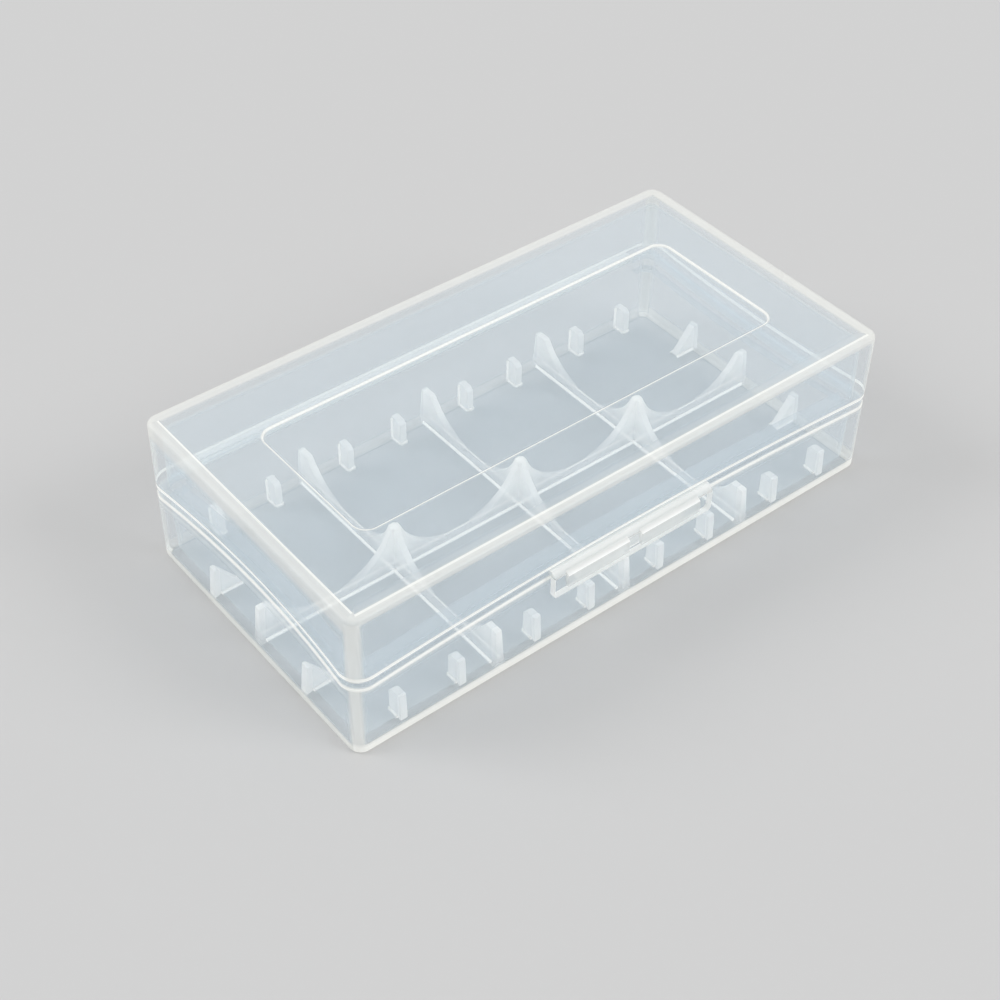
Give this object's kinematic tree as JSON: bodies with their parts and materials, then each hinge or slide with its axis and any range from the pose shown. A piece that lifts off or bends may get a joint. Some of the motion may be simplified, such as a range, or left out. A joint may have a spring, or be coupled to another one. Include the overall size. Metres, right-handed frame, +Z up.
{
  "type": "battery case",
  "caption": "Small translucent snap-shut clamshell battery case with a ribbed cell cradle inside, a living hinge at the back and a latch flap at the front",
  "frame": {"origin": "middle of the underside, on the surface the case lies on", "axes": "+X along the length, -Y towards the latch, +Y towards the hinge, +Z up out of the lid"},
  "size_m": [0.077, 0.0416, 0.0204],
  "materials": {
    "natural_polypropylene": "unpigmented milky translucent polypropylene, smooth moulded gloss, whiter and denser along edges and ribs"
  },
  "bodies": {
    "tray": {"base_tray": "natural_polypropylene", "cell_cradle": "natural_polypropylene", "hinge_film_base": "natural_polypropylene"},
    "lid": {"lid_shell": "natural_polypropylene", "hinge_film_lid": "natural_polypropylene", "latch": "natural_polypropylene"}
  },
  "joints": [
    {"name": "lid_hinge", "type": "hinge", "parent": "tray", "child": "lid", "pos_m": [0, 0.02094, 0.01068], "axis": [-1, 0, 0], "range_deg": [0, 180]}
  ]
}
